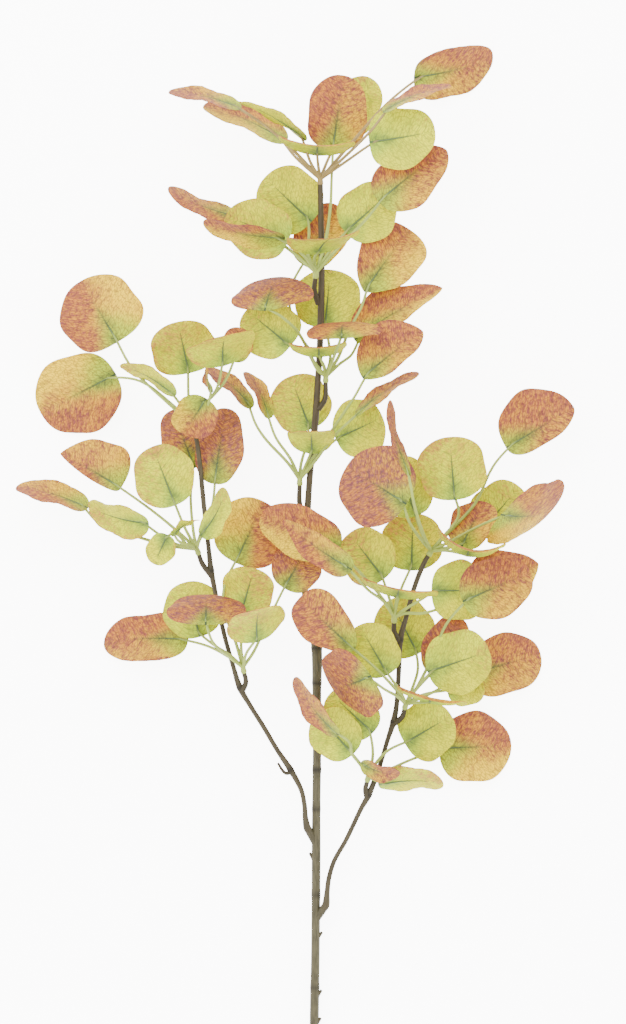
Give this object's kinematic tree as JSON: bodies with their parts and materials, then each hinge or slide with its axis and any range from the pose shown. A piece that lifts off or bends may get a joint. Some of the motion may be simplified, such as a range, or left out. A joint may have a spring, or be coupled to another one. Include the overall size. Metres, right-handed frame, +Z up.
{
  "type": "eucalyptus branch",
  "caption": "Cut eucalyptus branch, laid flat: a main stem, two side branches and sprays of round wavy leaves on long stalks",
  "frame": {"origin": "on the surface that the branch lies on, under the middle of its footprint", "axes": "+Z up from the surface, +Y along the main stem from the cut end towards the leafy tip, +X to the right of it"},
  "size_m": [0.4192, 0.786, 0.1266],
  "materials": {
    "main_stem": "satin, olive-brown with darker joints",
    "side_branches": "satin, brown",
    "green_rose_leaves": "printed leaf, green underside and rose-orange upper side with veins",
    "rose_tip_leaves": "printed leaf, green underside and rose-orange upper side with veins"
  },
  "bodies": {
    "root": {"main_stem": "main_stem", "left_branch": "side_branches", "right_branch": "side_branches", "first_spray": "green_rose_leaves", "second_spray": "green_rose_leaves", "third_spray": "green_rose_leaves", "top_spray": "rose_tip_leaves", "left_lower_spray": "green_rose_leaves", "left_middle_spray": "green_rose_leaves", "left_tip_spray": "rose_tip_leaves", "right_lower_spray": "green_rose_leaves", "right_middle_spray": "green_rose_leaves", "right_upper_spray": "green_rose_leaves", "right_tip_spray": "rose_tip_leaves"}
  },
  "joints": []
}
